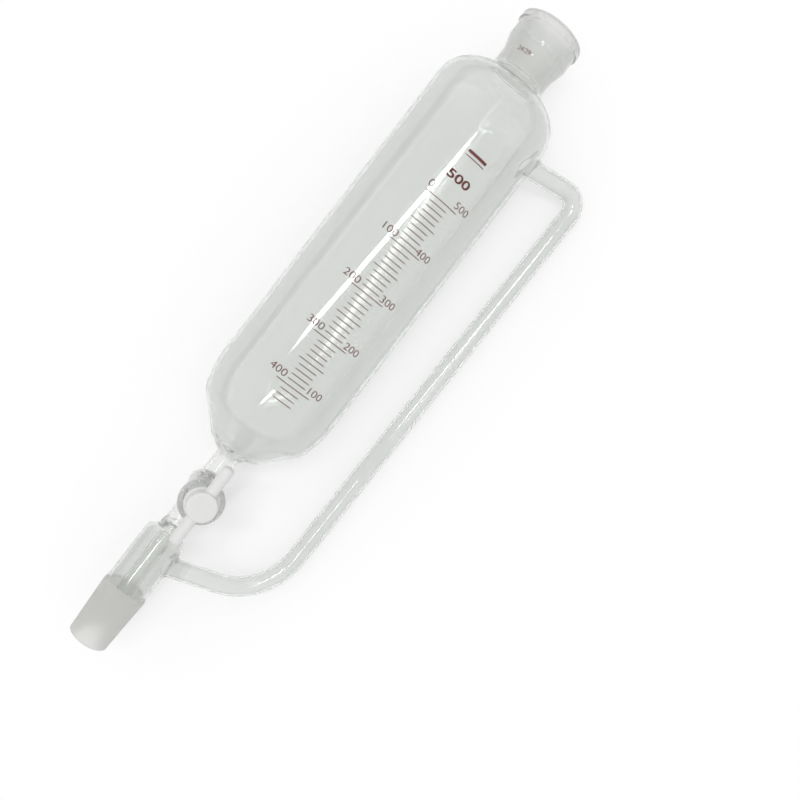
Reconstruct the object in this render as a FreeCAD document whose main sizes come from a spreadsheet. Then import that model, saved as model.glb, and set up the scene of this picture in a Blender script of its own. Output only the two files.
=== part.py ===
import FreeCAD, Part
import math
import os
import re

import Sketcher

# A pressure-equalizing addition funnel. Each piece is drawn upright, with the funnel's axis on Z,
# zero height at the cone's free end and the side arm towards +X. The pieces are laid down at the end.

# Driving sizes, in millimetres and degrees.
SIZES = [
    # ground joints, size 24/29: one in ten on the diameter
    ("joint_r", "12.0", "radius at the wide end of a ground joint"),
    ("joint_length", "29.0", "length of a ground joint"),
    ("joint_slope", "0.05", "radius lost for each millimetre of ground length"),
    # cone, vapour tube and ring seal, going up
    ("cone_length", "30.5", "from the free end to the step below the vapour tube"),
    ("cone_lip", "0.7", "rounding of the cone's fire-polished end"),
    ("vapour_step", "1.6", "height of the step from the cone to the vapour tube"),
    ("vapour_r", "11.5", "outer radius of the vapour tube"),
    ("vapour_length", "33.2", "length of the vapour tube up to its shoulder"),
    ("vapour_wall", "1.6", "wall of the cone and the vapour tube"),
    ("vapour_round", "4.6", "rounding of the vapour tube's shoulder"),
    ("vapour_rise", "3.3", "height of the vapour tube's shoulder"),
    ("seal_r", "6.8", "outer radius of the ring seal"),
    ("seal_length", "3.0", "height of the ring seal"),
    ("seal_step", "1.8", "height of the step from the ring seal to the stem"),
    ("seal_round", "2.0", "roundings of the ring seal"),
    # drip tube inside the vapour tube
    ("drip_r", "4.35", "outer radius of the drip tube"),
    ("drip_bore_r", "3.1", "bore radius of the drip tube"),
    ("drip_tip_r", "4.1", "outer radius at the drip tip"),
    ("drip_tip_bore_r", "3.0", "bore radius at the drip tip"),
    ("drip_end", "6.0", "height of the drip tip's lowest point"),
    ("drip_taper", "8.0", "length over which the drip tube narrows"),
    ("drip_bevel_angle", "40.0", "angle of the slanted cut on the drip tip"),
    # stem
    ("stem_r", "6.0", "outer radius of the stem"),
    ("stem_bore_r", "4.0", "bore radius of the stem"),
    ("stem_below", "19.8", "stem from the ring seal to the stopcock's axis"),
    ("stem_above", "22.4", "stem from the stopcock's axis to the reservoir"),
    ("stem_round", "2.5", "rounding between stem and reservoir"),
    # reservoir, going up
    ("body_r", "33.7", "outer radius of the reservoir"),
    ("body_wall", "1.8", "wall of the reservoir"),
    ("floor_r", "14.5", "radius where the reservoir's floor steepens"),
    ("floor_rise", "5.6", "height of the floor's steep part"),
    ("floor_round", "12.0", "rounding of the floor"),
    ("heel_inset", "3.36", "how far the reservoir's heel lies inside its straight side"),
    ("heel_rise", "16.8", "height from the floor's corner to the heel"),
    ("heel_round", "13.0", "rounding of the heel"),
    ("side_rise", "13.5", "height from the heel to the straight side"),
    ("side_round", "58.0", "rounding where the straight side starts"),
    ("side_length", "190.4", "length of the straight side, to its corner with the shoulder"),
    ("shoulder_rise", "12.1", "height of the shoulder"),
    ("shoulder_round", "16.7", "rounding of the shoulder"),
    # neck, socket and collar, going up
    ("neck_r", "14.8", "outer radius of the neck"),
    ("neck_length", "9.7", "length of the neck"),
    ("neck_round", "3.0", "roundings of the neck"),
    ("neck_bore_r", "12.9", "bore radius between the ground socket and the shoulder"),
    ("neck_flare", "3.5", "height over which the bore widens under the ground socket"),
    ("socket_rise", "7.5", "height over which the socket widens"),
    ("socket_r", "17.0", "outer radius of the socket"),
    ("socket_length", "7.8", "straight part of the socket below the collar"),
    ("collar_foot", "0.9", "height and rounding of the collar's foot"),
    ("collar_r", "18.0", "radius of the collar"),
    ("collar_height", "4.7", "height of the collar"),
    ("collar_round", "1.9", "rounding of the collar's upper edge"),
    ("mouth_chamfer", "0.5", "bevel of the socket's mouth"),
    # stopcock barrel, with a tapered bore of one in five
    ("tap_angle", "96.7", "angle from the side arm round to the handle"),
    ("tap_bore_r", "5.75", "bore radius of the barrel on the funnel's axis"),
    ("tap_slope", "0.1", "radius gained for each millimetre of the barrel"),
    ("tap_wall", "1.95", "wall of the barrel"),
    ("tap_front", "20.6", "from the funnel's axis to the barrel's wide end"),
    ("tap_back", "14.0", "from the funnel's axis to the barrel's narrow end"),
    ("tap_bead_r", "11.5", "outer radius of the bead at the wide end"),
    ("tap_bead", "3.6", "length of the bead"),
    ("tap_flare", "4.5", "length over which the barrel widens into the bead"),
    ("tap_lip", "0.9", "rounding of the barrel's ends"),
    ("tap_port_r", "1.0", "radius of the holes through the barrel's wall"),
    ("tap_round", "1.8", "rounding between barrel and stem"),
    # side arm, given by the corners of its centre line
    ("arm_r", "5.3", "outer radius of the side arm"),
    ("arm_wall", "1.2", "wall of the side arm"),
    ("arm_inset", "4.0", "how far the arm's centre line runs inside the walls it joins"),
    ("arm_low_start", "18.9", "from the vapour tube's foot to the centre line's lower end"),
    ("arm_low_lift", "11.2", "from the centre line's lower end up to its lower corner"),
    ("arm_low_out", "30.6", "from the reservoir's side out to the lower corner"),
    ("arm_low_bend", "34.0", "radius of the lower bend"),
    ("arm_top_drop", "15.1", "from the shoulder's corner down to the centre line's upper end"),
    ("arm_top_lift", "8.2", "from the centre line's upper end up to its upper corner"),
    ("arm_top_out", "36.0", "from the reservoir's side out to the upper corner"),
    ("arm_top_bend", "8.5", "radius of the upper bend"),
    ("arm_low_flare", "2.6", "rounding where the arm is sealed to the vapour tube"),
    ("arm_top_flare", "5.5", "rounding where the arm is sealed to the reservoir"),
    # stopcock plug
    ("plug_gap", "0.04", "running clearance of the plug in the barrel"),
    ("plug_bore_r", "1.0", "radius of the plug's cross bore"),
    ("plug_lift", "0.3", "gap between the barrel and the plug's collar"),
    ("plug_collar_r", "8.6", "radius of the plug's collar"),
    ("plug_collar_height", "2.4", "height of the plug's collar"),
    ("plug_head_r", "7.55", "radius of the plug's head"),
    ("plug_head_height", "6.3", "height of the head above the collar"),
    ("plug_head_round", "1.0", "rounding of the head"),
    ("plug_recess", "0.6", "how far the taper stops short of the barrel's narrow end"),
    ("tail_r", "3.0", "radius of the plug's threaded tail"),
    ("tail_flat", "2.4", "from the plug's axis to the flat on its tail"),
    ("tail_length", "9.6", "length of the tail beyond the barrel"),
    ("tail_chamfer", "0.5", "bevel of the tail's end"),
    # handle bar
    ("bar_r", "3.1", "radius of the handle bar"),
    ("bar_length", "45.6", "length of the handle bar"),
    ("bar_rise", "4.0", "from the underside of the plug's collar to the bar's axis"),
    ("bar_gap", "0.02", "clearance of the bar in the head"),
    ("bar_round", "2.2", "rounding of the bar's ends"),
    # washer, ring and nut on the plug's tail
    ("washer_gap", "0.3", "from the barrel's narrow end to the washer"),
    ("washer_r", "5.6", "outer radius of the washer"),
    ("washer_height", "1.2", "thickness of the washer"),
    ("ring_section_r", "0.8", "radius of the O-ring's section"),
    ("tail_gap", "0.08", "clearance of washer, ring and nut on the tail"),
    ("nut_r", "5.6", "outer radius of the nut"),
    ("nut_height", "5.0", "height of the nut"),
    ("nut_chamfer", "0.5", "bevel of the nut's rims"),
    ("flute_r", "0.9", "radius of the nut's finger grooves"),
    ("flute_depth", "0.45", "depth of the nut's finger grooves"),
]
FLUTE_COUNT = 10

# Radii and places that follow from the driving sizes. Heights are from the cone's free end.
PLACES = {
    "cone_end_r": "joint_r - joint_slope*joint_length",
    "vapour_foot": "cone_length + vapour_step",
    "vapour_top": "vapour_foot + vapour_length",
    "seal_low": "vapour_top + vapour_rise",
    "seal_high": "seal_low + seal_length",
    "stem_low": "seal_high + seal_step",
    "tap_height": "stem_low + stem_below",
    "stem_high": "tap_height + stem_above",
    "floor_height": "stem_high + floor_rise",
    "heel_r": "body_r - heel_inset",
    "heel_height": "floor_height + heel_rise",
    "side_low": "heel_height + side_rise",
    "side_high": "side_low + side_length",
    "neck_low": "side_high + shoulder_rise",
    "neck_high": "neck_low + neck_length",
    "socket_low": "neck_high + socket_rise",
    "collar_low": "socket_low + socket_length",
    "funnel_length": "collar_low + collar_foot + collar_height",
    "ground_foot": "funnel_length - joint_length",
    "arm_low_end": "vapour_foot + arm_low_start",
    "arm_low_z": "arm_low_end + arm_low_lift",
    "arm_low_x": "body_r + arm_low_out",
    "arm_top_end": "side_high - arm_top_drop",
    "arm_top_z": "arm_top_end + arm_top_lift",
    "arm_top_x": "body_r + arm_top_out",
    "plug_collar_low": "tap_front + plug_lift",
    "plug_collar_top": "plug_collar_low + plug_collar_height",
    "plug_head_top": "plug_collar_top + plug_head_height",
    "taper_end": "tap_back - plug_recess",
    "tail_end": "tap_back + tail_length",
    "bar_height": "plug_collar_low + bar_rise",
    "washer_place": "tap_back + washer_gap",
    "ring_place": "washer_place + washer_height + ring_section_r",
    "nut_place": "ring_place + ring_section_r",
    "ring_r": "tail_r + tail_gap + ring_section_r",
}
NAMES = {alias for alias, value, note in SIZES}

doc = FreeCAD.newDocument("addition_funnel")
sheet = doc.addObject("Spreadsheet::Sheet", "Sizes")
for row, (alias, value, note) in enumerate(SIZES, start=1):
    sheet.set("A%d" % row, note)
    sheet.set("B%d" % row, value)
    sheet.setAlias("B%d" % row, alias)
doc.recompute()


def from_sheet(expression):
    """The expression with each place worked out and each size written as a cell of the sheet."""
    def cell(match):
        word = match.group(0)
        if word in PLACES:
            return "(" + from_sheet(PLACES[word]) + ")"
        return "Sizes." + word if word in NAMES else word
    return re.sub(r"[a-z_]+", cell, expression)


def size(expression):
    """The value of an expression of sizes, such as 'body_r - body_wall'."""
    return float(sheet.evalExpression(from_sheet(expression)))


def tie(thing, field, expression):
    """Bind one property of an object to sizes of the sheet."""
    thing.setExpression(field, from_sheet(expression))


# Sketches and turned bodies

def sketch_on(body, name, role):
    """A sketch on one of the body's own origin planes."""
    sketch = body.newObject("Sketcher::SketchObject", name)
    for feature in body.Origin.OriginFeatures:
        if feature.Role == role:
            sketch.AttachmentSupport = (feature, "")
    sketch.MapMode = "FlatFace"
    return sketch


def hold_radius(sketch, edge, radius):
    """Bind the radius of a circle or an arc."""
    index = sketch.addConstraint(Sketcher.Constraint("Radius", edge, size(radius)))
    tie(sketch, "Constraints[%d]" % index, radius)


def hold(sketch, kind, edge, end, expression):
    """Hold a point of the sketch at a bound distance from its origin."""
    if expression == "0":
        axis = -2 if kind == "DistanceX" else -1
        sketch.addConstraint(Sketcher.Constraint("PointOnObject", edge, end, axis))
        return
    index = sketch.addConstraint(Sketcher.Constraint(kind, -1, 1, edge, end, size(expression)))
    tie(sketch, "Constraints[%d]" % index, expression)


def hold_point(sketch, edge, end, x, y):
    """Hold a point of the sketch in both directions."""
    hold(sketch, "DistanceX", edge, end, x)
    hold(sketch, "DistanceY", edge, end, y)


def outline(sketch, corners):
    """A closed outline through corners given as pairs of expressions."""
    points = [FreeCAD.Vector(size(corner[0]), size(corner[1]), 0) for corner in corners]
    following = points[1:] + points[:1]
    for start, end in zip(points, following):
        sketch.addGeometry(Part.LineSegment(start, end))
    for edge in range(len(corners)):
        after = (edge + 1) % len(corners)
        sketch.addConstraint(Sketcher.Constraint("Coincident", edge, 2, after, 1))
    for edge, corner in enumerate(corners):
        hold_point(sketch, edge, 1, corner[0], corner[1])


def circle(sketch, radius, height="0"):
    """A circle on the sketch's upright axis."""
    centre = FreeCAD.Vector(0, size(height), 0)
    edge = sketch.addGeometry(Part.Circle(centre, FreeCAD.Vector(0, 0, 1), size(radius)))
    hold_radius(sketch, edge, radius)
    hold_point(sketch, edge, 3, "0", height)


def rings(shape, radius, height):
    """The names of the round edges of that radius, centred on Z at that height."""
    found = []
    for number, edge in enumerate(shape.Edges, start=1):
        if not isinstance(edge.Curve, Part.Circle):
            continue
        centre = edge.Curve.Center
        off_axis = math.hypot(centre.x, centre.y)
        if abs(edge.Curve.Radius - radius) + abs(centre.z - height) + off_axis < 0.001:
            found.append("Edge%d" % number)
    return found


def soften(body, kind, base, field, width, corners):
    """Round or bevel the round edges at those corners of a turned body."""
    names = []
    for corner in corners:
        names += rings(base.Shape, size(corner[0]), size(corner[1]))
    feature = body.newObject(kind, "%s_edge" % body.Name)
    feature.Base = (base, names)
    tie(feature, field, width)
    doc.recompute()
    return feature


def turned(name, corners):
    """A body turned about Z. A third item at a corner is its rounding."""
    body = doc.addObject("PartDesign::Body", name)
    sketch = sketch_on(body, name + "_outline", "XZ_Plane")
    outline(sketch, corners)
    base = body.newObject("PartDesign::Revolution", name + "_turned")
    base.Profile = sketch
    base.ReferenceAxis = (sketch, ["V_Axis"])
    base.Angle = 360
    doc.recompute()
    for corner in corners:
        if len(corner) == 3:
            base = soften(body, "PartDesign::Fillet", base, "Radius", corner[2], [corner])
    return body


def pocket(body, name, sketch, length):
    """Cut a sketch out of the body, half the length to each side of its plane."""
    before = body.Shape.Volume
    cut = body.newObject("PartDesign::Pocket", name)
    cut.Profile = sketch
    cut.Midplane = True
    tie(cut, "Length", length)
    doc.recompute()
    if body.Shape.Volume >= before:
        raise RuntimeError(name + " cuts nothing")
    return cut


def pad(body, name, sketch, length):
    """Raise a sketch by that length."""
    raised = body.newObject("PartDesign::Pad", name)
    raised.Profile = sketch
    tie(raised, "Length", length)
    doc.recompute()
    return raised


# Glass: the outer form, turned about the funnel's axis

def reservoir_corners():
    """The reservoir's outer corners, from the stem up to the neck."""
    return [
        ("stem_r", "stem_high", "stem_round"),
        ("floor_r", "floor_height", "floor_round"),
        ("heel_r", "heel_height", "heel_round"),
        ("body_r", "side_low", "side_round"),
        ("body_r", "side_high", "shoulder_round"),
        ("neck_r", "neck_low", "neck_round"),
    ]


def make_outer_form():
    """Everything that was blown round the funnel's axis, still solid."""
    lower = [
        ("0", "0"),
        ("cone_end_r", "0", "cone_lip"),
        ("cone_end_r + joint_slope*cone_length", "cone_length"),
        ("vapour_r", "vapour_foot"),
        ("vapour_r", "vapour_top", "vapour_round"),
        ("seal_r", "seal_low", "seal_round"),
        ("seal_r", "seal_high", "seal_round"),
        ("stem_r", "stem_low"),
    ]
    upper = [
        ("neck_r", "neck_high", "neck_round"),
        ("socket_r", "socket_low", "neck_round"),
        ("socket_r", "collar_low", "collar_foot/2"),
        ("collar_r", "collar_low + collar_foot", "collar_foot/2"),
        ("collar_r", "funnel_length", "collar_round"),
        ("0", "funnel_length"),
    ]
    return turned("outer_form", lower + reservoir_corners() + upper)


def make_reservoir_hollow():
    """The reservoir's inside: its outer form, moved in by the wall."""
    stub = [
        ("0", "stem_high - stem_round"),
        ("stem_r", "stem_high - stem_round"),
    ]
    top = [
        ("neck_r", "neck_low + neck_round"),
        ("0", "neck_low + neck_round"),
    ]
    hollow = doc.addObject("Part::Offset", "reservoir_hollow")
    hollow.Source = turned("reservoir_form", stub + reservoir_corners() + top)
    hollow.Intersection = True
    tie(hollow, "Value", "-body_wall")
    doc.recompute()
    return hollow


def make_socket_hollow():
    """The ground socket and the wider bore under it."""
    return turned("socket_hollow", [
        ("0", "ground_foot - neck_flare - neck_round"),
        ("neck_bore_r", "ground_foot - neck_flare - neck_round"),
        ("neck_bore_r", "ground_foot - neck_flare"),
        ("cone_end_r", "ground_foot"),
        ("joint_r", "funnel_length - mouth_chamfer"),
        ("joint_r + 2*mouth_chamfer", "funnel_length + mouth_chamfer"),
        ("0", "funnel_length + mouth_chamfer"),
    ])


def make_stem_hollow():
    """The liquid's way: drip tube, ring seal, lower stem, barrel wall and upper stem."""
    port_taper = "(stem_bore_r - tap_port_r)"
    return turned("stem_hollow", [
        ("0", "drip_end - cone_lip"),
        ("drip_tip_bore_r", "drip_end - cone_lip"),
        ("drip_tip_bore_r", "drip_end"),
        ("drip_bore_r", "drip_end + drip_taper"),
        ("drip_bore_r", "seal_low"),
        ("stem_bore_r", "seal_high"),
        ("stem_bore_r", "tap_height - tap_bore_r - tap_wall - " + port_taper),
        ("tap_port_r", "tap_height - tap_bore_r - tap_wall"),
        ("tap_port_r", "tap_height + tap_bore_r + tap_wall"),
        ("stem_bore_r", "tap_height + tap_bore_r + tap_wall + " + port_taper),
        ("stem_bore_r", "floor_height"),
        ("0", "floor_height"),
    ])


def make_vapour_hollow():
    """The space round the drip tube, from the cone's end to the ring seal."""
    return turned("vapour_hollow", [
        ("0", "-cone_lip"),
        ("cone_end_r - vapour_wall + cone_lip", "-cone_lip"),
        ("cone_end_r - vapour_wall", "cone_lip"),
        ("vapour_r - vapour_wall", "cone_length"),
        ("vapour_r - vapour_wall", "vapour_top - vapour_wall", "vapour_round - vapour_wall"),
        ("drip_r + vapour_wall", "seal_low - vapour_wall"),
        ("drip_r", "seal_low - vapour_wall"),
        ("drip_r", "drip_end + drip_taper"),
        ("drip_tip_r", "drip_end"),
        ("0", "drip_end"),
    ])


def make_drip_bevel():
    """The slanted cut that takes one side off the drip tip."""
    slab = doc.addObject("Part::Box", "bevel_slab")
    for side in ("Length", "Width", "Height"):
        tie(slab, side, "4*drip_r")
    low = FreeCAD.Vector(size("-drip_tip_r"), 0, size("drip_end"))
    turn = FreeCAD.Rotation(FreeCAD.Vector(0, 1, 0), -size("drip_bevel_angle"))
    corner = turn.multVec(FreeCAD.Vector(0, size("-2*drip_r"), size("-4*drip_r")))
    slab.Placement = FreeCAD.Placement(low + corner, turn)
    core = doc.addObject("Part::Cylinder", "bevel_core")
    tie(core, "Radius", "drip_r + cone_lip")
    tie(core, "Height", "drip_end + drip_taper")
    bevel = doc.addObject("Part::Common", "drip_bevel_cut")
    bevel.Base = slab
    bevel.Tool = core
    return bevel


# Glass: the stopcock barrel

def tap_placement():
    """The stopcock's own frame: Z along its axis to the handle, X up the funnel's axis."""
    turn = math.radians(-size("tap_angle"))
    out = FreeCAD.Vector(math.cos(turn), math.sin(turn), 0)
    up = FreeCAD.Vector(0, 0, 1)
    rotation = FreeCAD.Rotation(up, out.cross(up), out, "ZXY")
    return FreeCAD.Placement(FreeCAD.Vector(0, 0, size("tap_height")), rotation)


def make_barrel_form():
    """The barrel's outside: a taper that follows its bore, with a bead at the wide end."""
    flare_low = "(tap_front - tap_bead - tap_flare)"
    barrel = turned("barrel_form", [
        ("0", "-tap_back"),
        ("tap_bore_r - tap_slope*tap_back + tap_wall", "-tap_back", "tap_lip"),
        ("tap_bore_r + tap_slope*" + flare_low + " + tap_wall", flare_low, "tap_flare"),
        ("tap_bead_r", "tap_front - tap_bead", "tap_lip"),
        ("tap_bead_r", "tap_front", "tap_lip"),
        ("0", "tap_front"),
    ])
    barrel.Placement = tap_placement()
    return barrel


def make_barrel_hollow():
    """The barrel's tapered bore, with a small bevel at its narrow end."""
    front_r = "tap_bore_r + tap_slope*tap_front"
    back_r = "tap_bore_r - tap_slope*(tap_back - tap_lip/2)"
    bore = turned("barrel_hollow", [
        ("0", "-tap_back - tap_lip/2"),
        (back_r + " + tap_lip", "-tap_back - tap_lip/2"),
        (back_r, "-tap_back + tap_lip/2"),
        (front_r, "tap_front"),
        (front_r, "tap_front + tap_lip"),
        ("0", "tap_front + tap_lip"),
    ])
    bore.Placement = tap_placement()
    return bore


# Glass: the side arm

def bend_between(before, corner, after, radius):
    """Where an arc of that radius leaves and meets the two runs, and its centre."""
    to_start = (before - corner).normalize()
    to_end = (after - corner).normalize()
    half = to_start.getAngle(to_end) / 2
    reach = radius / math.tan(half)
    centre = corner + (to_start + to_end).normalize() * (radius / math.sin(half))
    return corner + to_start * reach, corner + to_end * reach, centre


def arc_of(centre, radius, start, end):
    """An arc about that centre, counter-clockwise from start to end."""
    first = math.atan2(start.y - centre.y, start.x - centre.x)
    last = math.atan2(end.y - centre.y, end.x - centre.x)
    return Part.ArcOfCircle(Part.Circle(centre, FreeCAD.Vector(0, 0, 1), radius), first, last)


def arm_path(sketch):
    """The arm's centre line: three straight runs and two bends, held by its corners."""
    route = [
        ("vapour_r - arm_inset", "arm_low_end"),
        ("arm_low_x", "arm_low_z"),
        ("arm_top_x", "arm_top_z"),
        ("body_r - arm_inset", "arm_top_end"),
    ]
    points = [FreeCAD.Vector(size(x), size(z), 0) for x, z in route]
    radii = ["arm_low_bend", "arm_top_bend"]
    bends = [bend_between(*points[n:n + 3], size(radii[n])) for n in range(2)]
    starts = [points[0], bends[0][1], bends[1][1]]
    stops = [bends[0][0], bends[1][0], points[3]]
    for start, stop in zip(starts, stops):
        sketch.addGeometry(Part.LineSegment(start, stop))
    for n, (start, stop, centre) in enumerate(bends):
        arc = sketch.addGeometry(arc_of(centre, size(radii[n]), start, stop))
        sketch.addConstraint(Sketcher.Constraint("Tangent", n, 2, arc, 1))
        sketch.addConstraint(Sketcher.Constraint("Tangent", arc, 2, n + 1, 1))
        hold_radius(sketch, arc, radii[n])
    for n in range(2):
        corner = sketch.addGeometry(Part.Point(points[n + 1]), True)
        sketch.addConstraint(Sketcher.Constraint("PointOnObject", corner, 1, n))
        sketch.addConstraint(Sketcher.Constraint("PointOnObject", corner, 1, n + 1))
        hold_point(sketch, corner, 1, *route[n + 1])
    hold_point(sketch, 0, 1, *route[0])
    hold_point(sketch, 2, 2, *route[3])


def make_arm(name, radius):
    """A round rod of that radius, bent along the arm's centre line."""
    body = doc.addObject("PartDesign::Body", name)
    path = sketch_on(body, name + "_path", "XZ_Plane")
    arm_path(path)
    section = sketch_on(body, name + "_section", "YZ_Plane")
    circle(section, radius)
    rise = math.atan2(size("arm_low_lift"), size("arm_low_x - vapour_r + arm_inset"))
    start = FreeCAD.Vector(0, size("arm_low_end"), size("vapour_r - arm_inset"))
    tilt = FreeCAD.Rotation(FreeCAD.Vector(1, 0, 0), -math.degrees(rise))
    section.AttachmentOffset = FreeCAD.Placement(start, tilt)
    doc.recompute()
    rod = body.newObject("PartDesign::AdditivePipe", name + "_bent")
    rod.Profile = section
    rod.Spine = (path, ["Edge%d" % number for number in range(1, 6)])
    doc.recompute()
    return body


# Glass: fused, flared at the seals and hollowed

def seams(shape, radius, slack, low, high):
    """The numbers of the curved seams on a round surface about Z, between two heights."""
    found = []
    for number, edge in enumerate(shape.Edges, start=1):
        points = edge.discretize(7)
        heights = [point.z for point in points]
        on_surface = all(abs(math.hypot(p.x, p.y) - radius) < slack for p in points)
        inside = size(low) < min(heights) and max(heights) < size(high)
        spread = max(math.hypot(p.x - points[0].x, p.y - points[0].y) for p in points)
        if on_surface and inside and spread > 0.1 and max(heights) - min(heights) > 0.1:
            found.append(number)
    return found


def joined(name, shapes):
    """Several forms made into one."""
    result = doc.addObject("Part::MultiFuse", name)
    result.Shapes = shapes
    doc.recompute()
    return result


def make_glass(arm):
    """The whole glass, fused into one piece and hollowed."""
    outer = joined("outer_glass", [make_outer_form(), make_barrel_form(), arm])
    flared = doc.addObject("Part::Fillet", "sealed_glass")
    flared.Base = outer
    shape = outer.Shape
    tap_reach = "(tap_bore_r + tap_wall + tap_round)"
    places = [
        ("body_r", 0.6, "arm_top_end - 2*arm_r", "arm_top_z + arm_r", "arm_top_flare"),
        ("vapour_r", 0.6, "arm_low_end - 2*arm_r", "vapour_top", "arm_low_flare"),
        ("stem_r", 0.02, "tap_height - " + tap_reach, "tap_height + " + tap_reach, "tap_round"),
    ]
    flares = []
    for radius, slack, low, high, flare in places:
        found = seams(shape, size(radius), slack, low, high)
        flares += [(number, size(flare), size(flare)) for number in found]
        print("seams for %s: %d" % (flare, len(found)))
    flared.Edges = flares
    doc.recompute()
    glass = doc.addObject("Part::Cut", "glass_funnel")
    glass.Base = flared
    glass.Tool = joined("inner_space", [
        make_reservoir_hollow(),
        make_socket_hollow(),
        make_stem_hollow(),
        make_vapour_hollow(),
        make_drip_bevel(),
        make_barrel_hollow(),
        make_arm("arm_hollow", "arm_r - arm_wall"),
    ])
    doc.recompute()
    return glass


# The stopcock's loose pieces, each in the stopcock's frame

def make_plug():
    """The plug: taper, cross bore, collar, head and flatted tail."""
    plug = turned("stopcock_plug", [
        ("0", "-tail_end"),
        ("tail_r", "-tail_end"),
        ("tail_r", "-taper_end"),
        ("tap_bore_r - tap_slope*taper_end - plug_gap", "-taper_end"),
        ("tap_bore_r + tap_slope*plug_collar_low - plug_gap", "plug_collar_low"),
        ("plug_collar_r", "plug_collar_low"),
        ("plug_collar_r", "plug_collar_top"),
        ("plug_head_r", "plug_collar_top"),
        ("plug_head_r", "plug_head_top", "plug_head_round"),
        ("0", "plug_head_top"),
    ])
    tail_rim = [("tail_r", "-tail_end")]
    soften(plug, "PartDesign::Chamfer", plug.Tip, "Size", "tail_chamfer", tail_rim)
    bore = sketch_on(plug, "cross_bore_outline", "YZ_Plane")
    circle(bore, "plug_bore_r")
    pocket(plug, "cross_bore", bore, "4*plug_collar_r")
    hole = sketch_on(plug, "bar_hole_outline", "YZ_Plane")
    circle(hole, "bar_r + bar_gap", "bar_height")
    pocket(plug, "bar_hole", hole, "4*plug_collar_r")
    flat = sketch_on(plug, "tail_flat_outline", "YZ_Plane")
    outline(flat, [
        ("tail_flat", "-tail_end - tail_chamfer"),
        ("2*tail_r", "-tail_end - tail_chamfer"),
        ("2*tail_r", "-taper_end"),
        ("tail_flat", "-taper_end"),
    ])
    pocket(plug, "tail_flat_cut", flat, "4*tail_r")
    return plug


def make_bar():
    """The handle bar: a round rod with domed ends, its own Z along its length."""
    return turned("handle_bar", [
        ("0", "-bar_length/2"),
        ("bar_r", "-bar_length/2", "bar_round"),
        ("bar_r", "bar_length/2", "bar_round"),
        ("0", "bar_length/2"),
    ])


def make_washer():
    """The washer, with a D-shaped hole that turns it with the plug."""
    washer = doc.addObject("PartDesign::Body", "sealing_washer")
    rim = sketch_on(washer, "washer_rim", "XY_Plane")
    circle(rim, "washer_r")
    pad(washer, "washer_disc", rim, "washer_height")
    hole = sketch_on(washer, "washer_hole", "XY_Plane")
    radius = size("tail_r + tail_gap")
    chord = size("tail_flat + tail_gap")
    half = math.sqrt(radius * radius - chord * chord)
    left = FreeCAD.Vector(-half, chord, 0)
    right = FreeCAD.Vector(half, chord, 0)
    arc = hole.addGeometry(arc_of(FreeCAD.Vector(), radius, left, right))
    flat = hole.addGeometry(Part.LineSegment(right, left))
    hole.addConstraint(Sketcher.Constraint("Coincident", arc, 3, -1, 1))
    hole.addConstraint(Sketcher.Constraint("Coincident", arc, 1, flat, 2))
    hole.addConstraint(Sketcher.Constraint("Coincident", arc, 2, flat, 1))
    hole.addConstraint(Sketcher.Constraint("Horizontal", flat))
    hold_radius(hole, arc, "tail_r + tail_gap")
    hold(hole, "DistanceY", flat, 1, "tail_flat + tail_gap")
    pocket(washer, "washer_bore", hole, "4*washer_height")
    return washer


def make_ring():
    """The O-ring, relaxed between washer and nut."""
    ring = doc.addObject("Part::Torus", "o_ring")
    tie(ring, "Radius1", "ring_r")
    tie(ring, "Radius2", "ring_section_r")
    doc.recompute()
    return ring


def make_nut():
    """The nut that draws the plug into the barrel, with finger grooves round its rim."""
    nut = doc.addObject("PartDesign::Body", "tension_nut")
    rim = sketch_on(nut, "nut_rim", "XY_Plane")
    circle(rim, "nut_r")
    disc = pad(nut, "nut_disc", rim, "nut_height")
    rims = [("nut_r", "0"), ("nut_r", "nut_height")]
    soften(nut, "PartDesign::Chamfer", disc, "Size", "nut_chamfer", rims)
    hole = sketch_on(nut, "nut_hole", "XY_Plane")
    circle(hole, "tail_r + tail_gap")
    pocket(nut, "nut_bore", hole, "4*nut_height")
    groove = sketch_on(nut, "nut_groove", "XY_Plane")
    circle(groove, "flute_r", "nut_r + flute_r - flute_depth")
    first = pocket(nut, "nut_flute", groove, "4*nut_height")
    pattern = nut.newObject("PartDesign::PolarPattern", "nut_flutes")
    pattern.Originals = [first]
    pattern.Axis = (groove, ["N_Axis"])
    pattern.Angle = 360
    pattern.Occurrences = FLUTE_COUNT
    nut.Tip = pattern
    doc.recompute()
    return nut


# Laying the pieces down: the funnel comes to rest on its side, on the reservoir and the side arm

def lying_placement(arm):
    """Turns the funnel's axis onto +X and lets the side arm down to the table."""
    reach = arm.Shape.optimalBoundingBox(False, False).XMax - size("arm_r")
    drop = math.asin(size("body_r - arm_r") / reach)
    arm_way = FreeCAD.Vector(0, -math.cos(drop), -math.sin(drop))
    axis_way = FreeCAD.Vector(1, 0, 0)
    rotation = FreeCAD.Rotation(arm_way, axis_way.cross(arm_way), axis_way, "ZXY")
    far_side = reach * math.cos(drop) + size("arm_r")
    middle = (size("body_r") - far_side) / 2
    base = FreeCAD.Vector(-size("funnel_length") / 2, -middle, size("body_r"))
    return FreeCAD.Placement(base, rotation)


def on_tap(height, angle=0):
    """A place at that height on the stopcock's axis, turned about Y of its frame."""
    turn = FreeCAD.Rotation(FreeCAD.Vector(0, 1, 0), angle)
    return tap_placement().multiply(FreeCAD.Placement(FreeCAD.Vector(0, 0, size(height)), turn))


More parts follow.
